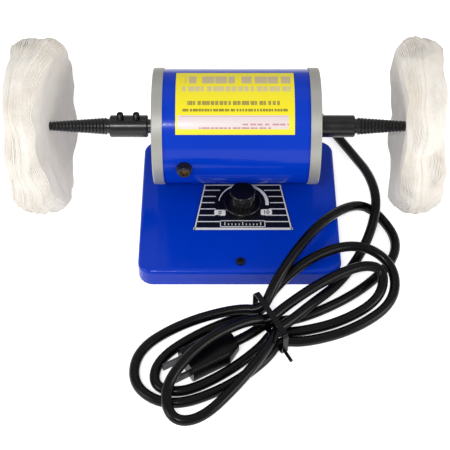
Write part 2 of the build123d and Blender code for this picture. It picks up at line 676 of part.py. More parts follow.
def speed_control():
    """Dial plate, potentiometer, knob, and the control board under the base."""
    dial_top = base_top + dial_thickness
    half_back = dial_back_width / 2
    half_front = dial_front_width / 2
    outline = Polyline((dial_x - half_back, -dial_back), (dial_x + half_back, -dial_back),
                       (dial_x + half_front, -dial_front), (dial_x - half_front, -dial_front), close=True)
    plate = Pos(0, 0, base_top) * extrude(make_face(outline), dial_thickness)
    plate -= Pos(knob_x, -knob_front, 0) * rod_z(pot_bush + 2 * slip, base_top - 1, dial_top + 1)
    keep("dial_plate", plate)

    at_knob = Pos(knob_x, -knob_front, 0)
    body_top = base_ceiling - slip
    bush_top = dial_top + pot_bush_height - base_sheet
    pot = rod_z(pot_diameter, body_top - pot_height, body_top)
    pot += rod_z(pot_bush, body_top, bush_top)
    pot -= rod_z(pot_shaft + 2 * running_fit, body_top - pot_height / 2, bush_top + 1)
    keep("speed_potentiometer", at_knob * pot)
    nut = extrude(RegularPolygon(pot_nut / 2, 6, major_radius=False), pot_nut_height)
    nut = Pos(0, 0, dial_top) * nut - rod_z(pot_bush + slip, dial_top - 1, dial_top + pot_nut_height + 1)
    keep("potentiometer_nut", at_knob * nut)
    shaft_top = dial_top + pot_shaft_height
    stem = rod_z(pot_shaft, body_top - pot_height / 2 + running_fit, shaft_top)
    keep("potentiometer_shaft", at_knob * stem)

    knob_low = dial_top + knob_room
    knob_high = knob_low + knob_height
    knob = rod_z(knob_skirt, knob_low, knob_low + knob_skirt_height)
    knob = fillet(knob.edges().group_by(Axis.Z)[-1], knob_skirt_height / 3)
    barrel = Pos(0, 0, (knob_low + knob_high) / 2) * Cone(knob_body / 2, knob_top / 2, knob_height)
    barrel = fillet(barrel.edges().group_by(Axis.Z)[-1], 1.2)
    flute = rod_z(knob_flute, knob_low + knob_skirt_height, knob_high - 1.5)
    for i in range(knob_flutes):
        barrel -= Rot(0, 0, 360 * i / knob_flutes) * Pos(knob_body / 2, 0, 0) * flute
    knob += barrel
    knob -= Pos(0, knob_top / 4 + 0.6, knob_high) * Box(1.2, knob_top / 2, 1)
    knob -= rod_z(pot_nut + 4, knob_low - 1, bush_top + knob_room)
    knob -= rod_z(pot_shaft + 0.2 * slip, knob_low, shaft_top + slip)
    screw_height = (bush_top + shaft_top) / 2 + knob_room
    grub_hole = Pos(0, 0, screw_height) * rod_y(knob_screw + 2 * slip, 0, knob_skirt)
    knob -= grub_hole
    keep("speed_knob", at_knob * knob)
    grub = Pos(0, 0, screw_height) * rod_y(knob_screw, pot_shaft / 2 + slip, knob_top / 2 - 1.5)
    keep("knob_grub_screw", at_knob * grub)

    board_low = cover_top + board_stand
    board_high = board_low + board_sheet
    board = Pos(board_x, -board_front, board_low) * extrude(Rectangle(board_width, board_depth), board_sheet)
    post = rod_z(board_post, cover_top, board_low) + rod_z(board_pin, foot_height, board_high)
    post += rod_z(board_pin + 1.5, board_high, board_high + 1)
    for x, y in board_posts():
        board -= Pos(x, y, 0) * rod_z(board_pin + 2 * slip, board_low - 1, board_high + 1)
    keep("control_board", board)
    keep("board_posts", Compound([Pos(x, y, 0) * post for x, y in board_posts()]))
    on_board = Pos(board_x, -board_front, board_high)
    triac = Pos(0, 0, triac_height / 2) * Box(triac_width, triac_depth, triac_height)
    tab = Box(triac_width, triac_depth * 0.6, triac_tab)
    triac += Pos(0, triac_depth * 0.75, triac_tab / 2) * tab
    triac = Pos(-board_width * 0.26, board_depth / 9, 0) * triac
    choke = Pos(board_width / 5, board_depth / 6, choke_winding + slip) * Torus(choke_radius, choke_winding)
    capacitor = Box(capacitor_length, capacitor_width, capacitor_height)
    capacitor = fillet(capacitor.edges().filter_by(Axis.Z), capacitor_width / 7)
    capacitor = Pos(board_width / 27, -board_depth * 0.28, capacitor_height / 2) * capacitor
    keep("board_components", on_board * Compound([triac, choke, capacitor]))


def motor_leads():
    """Sleeve and two wires from the control board up into the motor tube."""
    tube_low = axis_height - tube_radius
    sleeve = rod_z(lead_sleeve, base_ceiling - 2, tube_low + tube_wall + 1)
    sleeve += rod_z(lead_sleeve + 3, base_ceiling - 2, base_ceiling - slip)
    sleeve += rod_z(lead_sleeve + 3, base_top + slip, base_top + 2)
    sleeve -= rod_z(lead_sleeve - 2, base_ceiling - 3, tube_low + tube_wall + 3)
    keep("lead_sleeve", Pos(lead_x, 0, 0) * sleeve)
    run = cover_top + board_stand + board_sheet + lead_wire / 2
    bend = base_ceiling - 3 - run
    coil_low = axis_height - coil_rise - coil_height
    wires = []
    for side in (-1, 1):
        x = lead_x + side * lead_spacing / 2
        landing = -board_front + board_depth / 2 - board_post_inset - lead_wire
        route = [(x, landing, run), (x, -bend, run), (x, 0, run + bend), (x, 0, coil_low - 4),
                 (x - lead_x + rotor_left - coil_width - 1, 0, coil_low - lead_wire / 2 - slip)]
        wires.append(tube_along(route, corner_radii(route), lead_wire, "motor lead"))
    keep("motor_leads", Compound(wires))


def corner_radii(points):
    """The largest arc that the two runs at each corner of a route have room for."""
    radii = []
    for before, corner, after in zip(points, points[1:], points[2:]):
        here = Vector(*corner)
        run_in = here - Vector(*before)
        run_out = Vector(*after) - here
        half_turn = radians(run_in.get_angle(run_out)) / 2
        radii.append(cord_run_share * min(run_in.length, run_out.length) / tan(half_turn))
    return radii


def tube_along(points, radii, diameter, name):
    """A round tube along straight runs joined by arcs. Prints its radii and checks its volume."""
    path = FilletPolyline(*points, radius=radii)
    solid = sweep(Plane(path @ 0, z_dir=path % 0) * Circle(diameter / 2), path)
    ideal = pi * diameter ** 2 / 4 * path.length
    print(f"{name}: {path.length:.1f} mm long, volume over section times length {solid.volume / ideal:.4f}")
    print("  corner radii", " ".join(f"{radius:.1f}" for radius in radii))
    return solid


# The lead's free stretch, chosen by hand: out of the back, round the right side of the base and
# over the bundle's right-hand loops. Places in X and Y, heights of the lead's middle in Z.
cord_low = cord_diameter / 2 + cord_floor
relief_end = base_middle + base_depth / 2 + relief_flange_width + relief_length
free_route = [
    (relief_x, relief_end, relief_rise), (relief_x, 75, relief_rise), (16.5, 91, 8), (33, 99.5, 5.2),
    (50, 96, cord_low), (65, 82, cord_low), (79, 58, cord_low), (92, 32, 5.5), (102, 4, 13),
    (105, -25, 16.5), (99, -50, 12.5), (88, -73, 8.5),
]
bundle_entry = [(72, -97, 9), (53, -116, 13), (36, -132, 13)]

# Where each strand passes the tie: strands across the bundle from its middle, and height above the
# lowest strand.
waist_slots = {
    "entry": (-1.0, 9.2), "small_right": (0.05, 9.4), "small_left": (-0.5, 1.8), "wide_right": (1.55, 1.8),
    "wide_left": (-1.5, 1.8), "tall_right": (1.1, 9.6), "plug": (0.5, 1.8),
}

# The bundle's loops in the order the lead makes them: direction, reach, half width going out and
# coming back, the slots it leaves from and returns to, and seven heights round the loop.
bundle_loops = [
    (229, 101, 13, 20, "entry", "small_right", (13.5, 12.6, 7.4, 9, 14, 23, 20)),
    (27, 92, 8.5, 16.5, "small_right", "small_left", (15.3, 20.5, 21, 16, 9, 4, 4.4)),
    (210.5, 92, 14.9, 15.2, "small_left", "wide_right", (4.4, 4, 4, 4, 4, 4, 4.4)),
    (28, 101.5, 22, 23, "wide_right", "wide_left", (16, 25.5, 22.5, 14, 8, 4, 4.4)),
    (207, 104, 24.4, 25, "wide_left", "tall_right", (4.4, 4, 4, 4, 4, 8, 12.6)),
    (53, 136, 11, 38, "tall_right", "plug", (25, 33, 20, 4, 4, 4, 4.4)),
]


def waist_point(name):
    """Where a strand passes the tie."""
    across, rise = waist_slots[name]
    shift = across * strand_pitch
    turn = radians(waist_turn)
    return (waist_x - shift * sin(turn), waist_y + shift * cos(turn), cord_low + rise)


def loop_points(direction, reach, half_out, half_back, start, end, heights):
    """Points round one rounded loop of the bundle, between two slots at the tie."""
    ahead = (cos(radians(direction)), sin(radians(direction)))
    turn = radians(waist_turn)
    points = []
    steps = len(heights) + 1
    for i, height in enumerate(heights):
        angle = 2 * pi * (i + 1) / steps
        along = reach * (1 - cos(angle)) / 2
        half = half_out if 2 * (i + 1) < steps else half_back
        swell = 1.28 * abs(sin(angle)) ** 0.6 * sin(angle / 2) ** 0.8
        side = half * copysign(swell, sin(angle))
        share = 0.0 if 2 * (i + 1) < steps else 0.5 if 2 * (i + 1) == steps else 1.0
        slot = (1 - share) * waist_slots[start][0] + share * waist_slots[end][0]
        shift = slot * strand_pitch * cos(angle / 2) ** 2
        points.append((waist_x + along * ahead[0] - side * ahead[1] - shift * sin(turn),
                       waist_y + along * ahead[1] + side * ahead[0] + shift * cos(turn), height))
    return points


def plug_point(along):
    """A point on the plug's middle line, measured from the tie."""
    turn = radians(plug_turn)
    return (waist_x + along * cos(turn), waist_y + along * sin(turn), plug_height / 2 + plug_lift)


def bundle_route():
    """Points of the tied-up lead, from the end of its free stretch to the plug."""
    route = list(bundle_entry) + [waist_point("entry")]
    for loop in bundle_loops:
        route += loop_points(*loop)
        route.append(waist_point(loop[5]))
    return route + [plug_point(0.55 * plug_rear), plug_point(plug_rear)]


def least_gap(path, diameter):
    """Least room between two strands of a coiled tube, measured on points along it."""
    count = int(path.length / 2.5)
    points = [path.position_at(i / count) for i in range(count + 1)]
    apart = int(25 / 2.5)
    return min((points[i] - points[j]).length
               for i in range(len(points)) for j in range(i + apart, len(points))) - diameter


def tie_pieces(path):
    """Band of the twist tie, as large as the strands it holds, with its twisted tail."""
    turn = radians(waist_turn)
    across, heights = [], []
    count = int(path.length / 2)
    for i in range(count + 1):
        point = path.position_at(i / count)
        x, y = point.X - waist_x, point.Y - waist_y
        if abs(x * cos(turn) + y * sin(turn)) < tie_width / 2 + cord_diameter / 2:
            across.append(y * cos(turn) - x * sin(turn))
            heights.append(point.Z)
    room = cord_diameter * 0.55 + tie_room
    left, right = min(across) - room, max(across) + room
    low, high = min(heights) - room, max(heights) + room
    print(f"tie: inside {right - left:.1f} by {high - low:.1f}, from {low:.1f} above the bench")
    plane = Plane((waist_x, waist_y, 0), x_dir=(-sin(turn), cos(turn), 0), z_dir=(cos(turn), sin(turn), 0))
    middle = Pos((left + right) / 2, (low + high) / 2)
    corner = cord_diameter * 0.4
    wide, tall = right - left, high - low
    outer = RectangleRounded(wide + 2 * tie_band, tall + 2 * tie_band, corner + tie_band)
    outline = middle * (outer - RectangleRounded(wide, tall, corner))
    band = extrude(plane * outline, tie_width / 2, both=True)
    start = left - tie_band / 2
    tail = Rot(0, -90, 0) * Pos(0, 0, tie_tail / 2) * Cylinder(tie_tail_diameter / 2, tie_tail)
    band += plane.location * (Pos(start, low + tie_tail_diameter, 0) * tail)
    keep("cord_tie", band)


def mains_lead():
    """Strain relief, free stretch, tied-up bundle, its tie, and the plug."""
    back = base_middle + base_depth / 2
    flange_end = back + relief_flange_width
    relief = rod_y(relief_neck, back - base_sheet - relief_inside, back + slip)
    relief += rod_y(relief_flange, back + slip, flange_end)
    taper = Cone(relief_tip / 2, relief_neck / 2, relief_length)
    relief += Pos(0, flange_end + relief_length / 2, 0) * Rot(90, 0, 0) * taper
    step = relief_length / (relief_rings + 1)
    for i in range(relief_rings):
        groove = rod_y(relief_flange, 0, step / 3) - rod_y(cord_diameter + 0.4, -1, step)
        relief -= Pos(0, flange_end + step * (i + 0.8), 0) * groove
    keep("strain_relief", Pos(relief_x, 0, relief_rise) * relief)

    bundle = bundle_route()
    radii = corner_radii(free_route + bundle)
    last, first = free_route[-1], bundle[0]
    join = tuple((a + b) / 2 for a, b in zip(last, first))
    free_corners = len(free_route) - 1
    keep("mains_cord", tube_along(free_route + [join], radii[:free_corners], cord_diameter, "free stretch"))
    coil_points = [join] + bundle
    coil_radii = radii[free_corners:]
    keep("cord_hank", tube_along(coil_points, coil_radii, cord_diameter, "bundle"))
    coil = FilletPolyline(*coil_points, radius=coil_radii)
    print(f"bundle: least room between strands {least_gap(coil, cord_diameter):.2f} mm")
    tie_pieces(coil)

    turn = radians(plug_turn)
    ahead = (cos(turn), sin(turn), 0)
    sideways = (-sin(turn), cos(turn), 0)
    rear, shoulder, front = (Plane(plug_point(plug_rear + along), x_dir=sideways, z_dir=ahead)
                             for along in (0, plug_neck, plug_length))
    neck = RectangleRounded(plug_neck_width, plug_neck_height, plug_neck_height / 3)
    face = RectangleRounded(plug_width, plug_height, plug_height / 4)
    body = loft([rear * neck, shoulder * face]) + extrude(shoulder * face, plug_length - plug_neck)
    blades = []
    for side in (-1, 1):
        edge = Pos(side * blade_spacing / 2, 0) * Rectangle(blade_thickness, blade_width)
        blades.append(extrude(front * edge, blade_length) + extrude(front * edge, -blade_length / 2))
        slot = Pos(side * blade_spacing / 2, 0) * Rectangle(blade_thickness + slip, blade_width + slip)
        body -= extrude(front * slot, -blade_length / 2 - slip)
    keep("plug_body", body)
    keep("plug_blades", Compound(blades))


def footprint_middle():
    """Middle of the machine's plan, with its buffs and without its lead."""
    outer = ("base_pan", "left_spindle", "right_spindle", "left_buff", "right_buff")
    boxes = [pieces[name].bounding_box() for name in outer]
    front_left = (min(box.min.X for box in boxes), min(box.min.Y for box in boxes))
    back_right = (max(box.max.X for box in boxes), max(box.max.Y for box in boxes))
    return (Vector(*front_left) + Vector(*back_right)) / 2


def main():
    base_pieces()
    saddle_pieces()
    motor_shell()
    bearing("left", -1)
    bearing("right", 1)
    field()
    armature()
    keep("brush_contacts", Compound([brush_gear("front", 180), brush_gear("rear", 0)]))
    spindle("left", left_collar, left_screw_turn, left_buff, left_buff_width, left_buff_lean)
    spindle("right", right_collar, right_screw_turn, right_buff, right_buff_width, right_buff_lean)
    speed_control()
    motor_leads()
    mains_lead()
    os.makedirs("parts", exist_ok=True)
    middle = footprint_middle()
    for name, shape in pieces.items():
        export_step(Pos(-middle.X, -middle.Y, 0) * shape, f"parts/{name}.step")
    print(len(pieces), "pieces, footprint middle", middle)


main()
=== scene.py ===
import json
from math import atan2, copysign, cos, pi, radians, sin
from random import Random

import bpy
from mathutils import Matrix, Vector


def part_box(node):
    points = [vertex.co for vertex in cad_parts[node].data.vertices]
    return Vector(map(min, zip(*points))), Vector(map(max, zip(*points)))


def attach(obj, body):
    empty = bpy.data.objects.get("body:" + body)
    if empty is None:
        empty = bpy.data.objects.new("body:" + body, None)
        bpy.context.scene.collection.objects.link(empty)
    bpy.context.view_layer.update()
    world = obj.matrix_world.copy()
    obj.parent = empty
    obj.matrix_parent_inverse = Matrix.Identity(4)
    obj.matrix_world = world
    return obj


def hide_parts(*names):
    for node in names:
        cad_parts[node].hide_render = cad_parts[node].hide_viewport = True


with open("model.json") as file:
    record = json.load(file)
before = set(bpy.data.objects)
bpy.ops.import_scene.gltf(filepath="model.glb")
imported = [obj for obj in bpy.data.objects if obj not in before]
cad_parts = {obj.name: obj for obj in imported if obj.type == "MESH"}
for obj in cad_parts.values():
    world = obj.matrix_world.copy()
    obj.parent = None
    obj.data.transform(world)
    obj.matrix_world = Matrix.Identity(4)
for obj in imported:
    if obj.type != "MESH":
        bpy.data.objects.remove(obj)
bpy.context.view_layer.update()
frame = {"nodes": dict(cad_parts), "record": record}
nodes = frame["nodes"]

MM = 0.001

# Sizes and places below are in millimetres, unless a comment says metres.
JOINTS = {joint["name"]: Vector(joint["pos_m"]) for joint in frame["record"]["behaviour"]["joints"]}
SHAFT = JOINTS["rotor_spin"]
KNOB = JOINTS["speed_turn"]


def place(x, y, z):
    """A point in millimetres from the middle of the motor, z from the bench, in the row frame."""
    return Vector((SHAFT.x + x * MM, SHAFT.y + y * MM, z * MM))


# Camera and light

CAMERA_FROM_SHAFT = (-7.9, -590.0, 592.4)
CAMERA_TILT = 40.0
CAMERA_LENS = 92.6
SENSOR_WIDTH = 36.0

WHITE_LIGHT = (1.0, 1.0, 1.0)
WARM_LIGHT = (1.0, 0.96, 0.9)
MACHINE_MIDDLE = (0.0, 0.0, 0.05)
# Name, place, size and target in metres, power in watts and colour of each softbox.
LAMPS = [
    ("front_strip", (-0.21, -0.854, 1.037), (0.22, 0.07), (-0.21, 0.015, 0.07), 4.5, WHITE_LIGHT),
    ("left_box", (-1.3, -0.75, 0.6), (0.7, 0.7), MACHINE_MIDDLE, 6.0, WARM_LIGHT),
    ("right_box", (1.3, -0.75, 0.6), (0.7, 0.7), MACHINE_MIDDLE, 9.0, WARM_LIGHT),
    ("top_box", (0.0, 0.5, 1.3), (1.2, 0.8), MACHINE_MIDDLE, 0.8, WHITE_LIGHT),
]


def set_camera():
    """The photograph's view: from in front and above, at fifty degrees, through a long lens."""
    data = bpy.data.cameras.new("camera")
    data.sensor_width = SENSOR_WIDTH
    data.lens = CAMERA_LENS
    camera = bpy.data.objects.new("camera", data)
    bpy.context.scene.collection.objects.link(camera)
    camera.location = SHAFT + Vector(CAMERA_FROM_SHAFT) * MM
    camera.rotation_euler = (radians(CAMERA_TILT), 0, 0)
    bpy.context.scene.camera = camera


def set_lamp(name, location, size, target, power, tint):
    """One softbox, turned to its target."""
    data = bpy.data.lights.new(name, "AREA")
    data.shape = "RECTANGLE"
    data.size, data.size_y = size
    data.energy = power
    data.color = tint
    lamp = bpy.data.objects.new(name, data)
    bpy.context.scene.collection.objects.link(lamp)
    lamp.location = location
    lamp.rotation_euler = (Vector(target) - Vector(location)).to_track_quat("-Z", "Y").to_euler()


# Materials

def color(code):
    """An sRGB hex value as linear red, green, blue and alpha."""
    parts = [int(code[i:i + 2], 16) / 255 for i in (1, 3, 5)]
    linear = [c / 12.92 if c <= 0.04045 else ((c + 0.055) / 1.055) ** 2.4 for c in parts]
    return (*linear, 1.0)


def add(tree, kind, inputs=None, **settings):
    """Add a node. An input, by name or number, is a value or another node's output."""
    node = tree.nodes.new("ShaderNode" + kind)
    for name, value in settings.items():
        setattr(node, name, value)
    for name, value in (inputs or {}).items():
        if isinstance(value, bpy.types.NodeSocket):
            tree.links.new(value, node.inputs[name])
        else:
            node.inputs[name].default_value = value
    return node


def start_material(name):
    """An empty material and its node tree."""
    made = bpy.data.materials.new(name)
    made.use_nodes = True
    made.node_tree.nodes.clear()
    return made, made.node_tree


def per_mm(size):
    """Texture scale that makes one feature this many millimetres."""
    return 1.0 / (size * MM)


def finish_material(name, base, second, roughness, patch=20, grain=0.8, bump=0.1, spread=0.08, metallic=0.0,
                    stretch=(1, 1, 1), **sockets):
    """A finish with cloudy colour, uneven gloss and a fine grain, each at a size in millimetres."""
    made, tree = start_material(name)
    where = add(tree, "TexCoord").outputs["Object"]
    cloud = add(tree, "TexNoise", {"Vector": where, "Scale": per_mm(patch), "Detail": 4.0})
    tint = add(tree, "Mix", {0: cloud.outputs["Fac"], 6: color(base), 7: color(second)}, data_type="RGBA")
    gloss = add(tree, "MapRange", {0: cloud.outputs["Fac"], 1: 0.3, 2: 0.7,
                                   3: max(0.02, roughness - spread), 4: roughness + spread})
    along = add(tree, "Mapping", {"Vector": where, "Scale": stretch})
    fine = add(tree, "TexNoise", {"Vector": along.outputs[0], "Scale": per_mm(grain), "Detail": 3.0})
    relief = add(tree, "Bump", {"Height": fine.outputs["Fac"], "Strength": bump, "Distance": 0.2 * MM})
    shader = add(tree, "BsdfPrincipled", {"Base Color": tint.outputs[2], "Roughness": gloss.outputs[0],
                                          "Normal": relief.outputs[0], "Metallic": metallic, **sockets})
    add(tree, "OutputMaterial", {"Surface": shader.outputs[0]})
    return made


# How a finish's grain is scaled along and across the shaft, for pieces turned on it or stacked along it.
TURNED = (1, 0.05, 0.05)
CAST_AND_TURNED = (1, 0.02, 0.02)
STACKED = (1, 0.03, 0.03)

# Sprayed enamel on sheet steel: deep even blue, a wet gloss and a faint orange peel.
enamel = finish_material("royal_blue_gloss_enamel", "#0036BE", "#013BC8", 0.17, patch=60, grain=2.2,
                         bump=0.03, spread=0.04,
                         **{"Specular IOR Level": 0.16, "Coat Weight": 0.07, "Coat Roughness": 0.05})
# Die-cast aluminium, turned on its rim and left bare: pale grey, with rings round the shaft.
casting = finish_material("turned_cast_aluminium", "#B5B6B2", "#A5A6A1", 0.45, patch=14, grain=0.7, bump=0.25,
                          metallic=0.35, stretch=CAST_AND_TURNED)
# Turned steel dipped in black oxide: near black, satin, with turning marks round the axis.
black_oxide = finish_material("black_oxide_turned_steel", "#151517", "#1F1F22", 0.3, patch=8, grain=0.6,
                              bump=0.15, metallic=0.3, stretch=TURNED,
                              **{"Specular IOR Level": 0.45, "Coat Weight": 0.3, "Coat Roughness": 0.22})
# Plating on pressed and turned steel: zinc bright and cold, nickel duller and a little darker.
zinc = finish_material("bright_zinc_plate", "#B9BCC2", "#A6A9AE", 0.3, patch=6, metallic=1.0)
nickel = finish_material("dull_nickel_plate", "#5E6064", "#4C4E52", 0.45, patch=5, metallic=0.9)
# Bare steel under oil: dark grey and turned for the shaft, blackened for screws, mirror-ground for bearings.
shaft_steel = finish_material("oiled_shaft_steel", "#5A5B5E", "#474849", 0.3, patch=8, metallic=0.9,
                              stretch=TURNED)
black_screw = finish_material("blackened_screw_steel", "#17171A", "#232326", 0.4, patch=4, metallic=0.6)
bearing_steel = finish_material("ground_bearing_steel", "#C9CCD1", "#BFC2C7", 0.14, patch=10, bump=0.03,
                                metallic=1.0)
# Stacked electrical steel: dark grey, its sheets showing as fine lines across the stack.
lamination = finish_material("stacked_electrical_steel", "#62656B", "#4B4E54", 0.42, patch=12, grain=0.9,
                             bump=0.5, metallic=0.8, stretch=STACKED)
# Enamelled copper wire, wound and dipped in varnish: brown, lumpy at the size of the wire, glossy on top.
winding = finish_material("varnished_copper_winding", "#8C4A22", "#6E3417", 0.3, patch=5, grain=0.9, bump=0.6,
                          metallic=0.5, **{"Coat Weight": 0.4})
# Bare copper, brass and carbon of the brush gear: pinkish, dull yellow, and sooty black.
copper = finish_material("turned_commutator_copper", "#B8744A", "#A4623A", 0.3, patch=6, metallic=1.0)
brass = finish_material("turned_brass", "#94703A", "#7F5E2C", 0.28, patch=4, metallic=1.0)
carbon = finish_material("pressed_carbon", "#1D1D1F", "#28282A", 0.55, patch=3)
# Moulded phenolic: black, a soft gloss, very slightly mottled.
phenolic = finish_material("moulded_black_phenolic", "#0E0E10", "#151517", 0.26, patch=5, bump=0.05)
# Moulded plastics and rubber: the knob glossy, the fan's nylon matt and grey, the feet dull.
knob_gloss = finish_material("glossy_black_knob_abs", "#0B0B0D", "#111114", 0.16, patch=8, bump=0.03,
                             spread=0.04)
nylon = finish_material("moulded_grey_nylon", "#2C2C2F", "#353538", 0.5, patch=10)
rubber = finish_material("moulded_black_rubber", "#161617", "#1E1E1F", 0.7, patch=5, bump=0.2)
# Extruded PVC sheath: black, a waxy sheen, faint waves left by the die.
pvc = finish_material("extruded_black_pvc", "#050508", "#0A0A0E", 0.26, patch=18, grain=1.6, bump=0.05,
                      **{"Specular IOR Level": 0.2})
# Glass fibre under green lacquer: the cloth shows as a faint grain.
board_green = finish_material("green_glass_fibre_board", "#14532F", "#1B6339", 0.4, patch=9, grain=0.6)
# Screen inks on the dial: flat, even, with little gloss.
dial_black = finish_material("black_screen_print", "#0C0D11", "#121319", 0.34, patch=15, bump=0.04)
dial_silver = finish_material("silver_screen_print", "#F4F5F7", "#E8EAED", 0.38, patch=4, bump=0.04)
dial_white = finish_material("white_screen_print", "#FDFDFC", "#F6F6F4", 0.4, patch=4, bump=0.04)

LABEL_LEFT, LABEL_RIGHT = -42.0, 40.0
LABEL_LOW, LABEL_HIGH = radians(36.8), radians(109.5)
# Each printed patch: its middle and half size as shares of the label, its ink, and how many marks would fill
# the label's width.
LABEL_PATCHES = [
    (0.485, 0.165, 0.465, 0.092, "#E6D8DB", 0),
    (0.525, 0.819, 0.445, 0.078, "#CDBD96", 9),
    (0.51, 0.644, 0.46, 0.044, "#DCCE92", 19),
    (0.49, 0.425, 0.39, 0.030, "#A89A46", 27),
    (0.50, 0.325, 0.44, 0.018, "#8F8434", 41),
    (0.495, 0.242, 0.45, 0.006, "#CDBFBC", 0),
    (0.75, 0.135, 0.20, 0.012, "#C98F98", 16),
    (0.50, 0.088, 0.30, 0.010, "#B98890", 27),
]
SHORTEST_MARK = 0.5


def label_material():
    """Printed film: yellow and glossy, with a pale panel and rows of plain bars."""
    made, tree = start_material("printed_yellow_film")
    where = add(tree, "TexCoord").outputs["Object"]
    axes = add(tree, "SeparateXYZ", {0: where})
    up = add(tree, "Math", {0: axes.outputs[2], 1: SHAFT.z}, operation="SUBTRACT")
    forward = add(tree, "Math", {0: SHAFT.y, 1: axes.outputs[1]}, operation="SUBTRACT")
    angle = add(tree, "Math", {0: up.outputs[0], 1: forward.outputs[0]}, operation="ARCTAN2")
    v = add(tree, "MapRange", {0: angle.outputs[0], 1: LABEL_LOW, 2: LABEL_HIGH, 3: 0.0, 4: 1.0}).outputs[0]
    left, right = SHAFT.x + LABEL_LEFT * MM, SHAFT.x + LABEL_RIGHT * MM
    u = add(tree, "MapRange", {0: axes.outputs[0], 1: left, 2: right, 3: 0.0, 4: 1.0}).outputs[0]
    fade = add(tree, "TexNoise", {"Vector": where, "Scale": per_mm(18), "Detail": 3.0})
    paint = add(tree, "Mix", {0: fade.outputs["Fac"], 6: color("#FCF020"), 7: color("#F6E716")},
                data_type="RGBA").outputs[2]
    for middle_u, middle_v, half_u, half_v, ink, marks in LABEL_PATCHES:
        across = add(tree, "Math", {0: u, 1: middle_u, 2: half_u}, operation="COMPARE")
        upright = add(tree, "Math", {0: v, 1: middle_v, 2: half_v}, operation="COMPARE")
        mask = add(tree, "Math", {0: across.outputs[0], 1: upright.outputs[0]},
                   operation="MULTIPLY").outputs[0]
        if marks:
            step = add(tree, "Math", {0: u, 1: float(marks)}, operation="MULTIPLY")
            part = add(tree, "Math", {0: step.outputs[0]}, operation="FRACT")
            cell = add(tree, "Math", {0: step.outputs[0]}, operation="FLOOR")
            chance = add(tree, "TexWhiteNoise", {"W": cell.outputs[0]}, noise_dimensions="1D")
            width = add(tree, "MapRange", {0: chance.outputs["Value"], 1: 0.0, 2: 1.0,
                                           3: SHORTEST_MARK, 4: 1.0})
            solid = add(tree, "Math", {0: part.outputs[0], 1: width.outputs[0]}, operation="LESS_THAN")
            mask = add(tree, "Math", {0: mask, 1: solid.outputs[0]}, operation="MULTIPLY").outputs[0]
        paint = add(tree, "Mix", {0: mask, 6: paint, 7: color(ink)}, data_type="RGBA").outputs[2]
    fine = add(tree, "TexNoise", {"Vector": where, "Scale": per_mm(1.5), "Detail": 2.0})
    relief = add(tree, "Bump", {"Height": fine.outputs["Fac"], "Strength": 0.04, "Distance": 0.1 * MM})
    shader = add(tree, "BsdfPrincipled", {"Base Color": paint, "Roughness": 0.32, "Normal": relief.outputs[0],
                                          "Coat Weight": 0.2, "Coat Roughness": 0.15})
    add(tree, "OutputMaterial", {"Surface": shader.outputs[0]})
    return made


def muslin_material():
    """Cotton muslin: cream, dull and fuzzy, its half-millimetre weave drawn at two so that it shows."""
    made, tree = start_material("loose_cotton_muslin")
    where = add(tree, "TexCoord").outputs["Object"]
    cloud = add(tree, "TexNoise", {"Vector": where, "Scale": per_mm(22), "Detail": 5.0, "Roughness": 0.65})
    shade = add(tree, "MapRange", {0: cloud.outputs["Fac"], 1: 0.32, 2: 0.68, 3: 0.0, 4: 1.0})
    paint = add(tree, "Mix", {0: shade.outputs[0], 6: color("#FBF9F5"), 7: color("#F0EAE1")},
                data_type="RGBA")
    # One band of a wave texture is pi / 10 over its scale.
    thread = {"Vector": where, "Scale": per_mm(2.0) * pi / 10, "Distortion": 1.2,
              "Detail": 2.0, "Detail Scale": 2.0}
    warp = add(tree, "TexWave", thread, wave_type="BANDS", bands_direction="Y")
    weft = add(tree, "TexWave", thread, wave_type="BANDS", bands_direction="Z")
    weave = add(tree, "Math", {0: warp.outputs["Fac"], 1: weft.outputs["Fac"]}, operation="MAXIMUM")
    fuzz = add(tree, "TexNoise", {"Vector": where, "Scale": per_mm(2.5), "Detail": 6.0, "Roughness": 0.7})
    height = add(tree, "Math", {0: weave.outputs[0], 1: fuzz.outputs["Fac"]}, operation="ADD")
    relief = add(tree, "Bump", {"Height": height.outputs[0], "Strength": 0.3, "Distance": 0.4 * MM})
    shader = add(tree, "BsdfPrincipled", {"Base Color": paint.outputs[2], "Roughness": 0.95,
                                          "Normal": relief.outputs[0], "Sheen Weight": 0.25,
                                          "Sheen Roughness": 0.5, "Specular IOR Level": 0.2})
    add(tree, "OutputMaterial", {"Surface": shader.outputs[0]})
    return made


muslin = muslin_material()
label_print = label_material()

node_finishes = {
    enamel: "base_pan motor_tube motor_saddle",
    casting: "left_end_bell right_end_bell",
    black_oxide: "left_spindle right_spindle left_collar_screws right_collar_screws",
    zinc: "base_cover cover_pillars foot_screws saddle_bolts saddle_nuts tie_bolts tie_nuts "
          "potentiometer_nut potentiometer_shaft knob_grub_screw",
    nickel: "plug_blades",
    shaft_steel: "armature_shaft",
    black_screw: "cover_screws",
    bearing_steel: "left_bearing_inner_race left_bearing_outer_race left_bearing_ball_set "
                   "right_bearing_inner_race right_bearing_outer_race right_bearing_ball_set "
                   "front_brush_spring rear_brush_spring",
    lamination: "stator_core armature_core",
    winding: "field_coils armature_windings",
    copper: "commutator",
    carbon: "front_carbon_brush rear_carbon_brush",
    brass: "brush_contacts",
    phenolic: "front_brush_holder rear_brush_holder front_brush_cap rear_brush_cap speed_potentiometer "
              "board_posts board_components lead_sleeve",
    knob_gloss: "speed_knob",
    nylon: "cooling_fan",
    rubber: "rubber_feet",
    pvc: "strain_relief cord_tie plug_body motor_leads mains_cord cord_hank",
    muslin: "left_buff right_buff",
    label_print: "tube_label",
    dial_black: "dial_plate",
    board_green: "control_board",
}


def dress(piece, finish):
    """Give a piece one finish all over."""
    piece.data.materials.clear()
    piece.data.materials.append(finish)


for finish, names in node_finishes.items():
    for name in names.split():
        dress(nodes[name], finish)


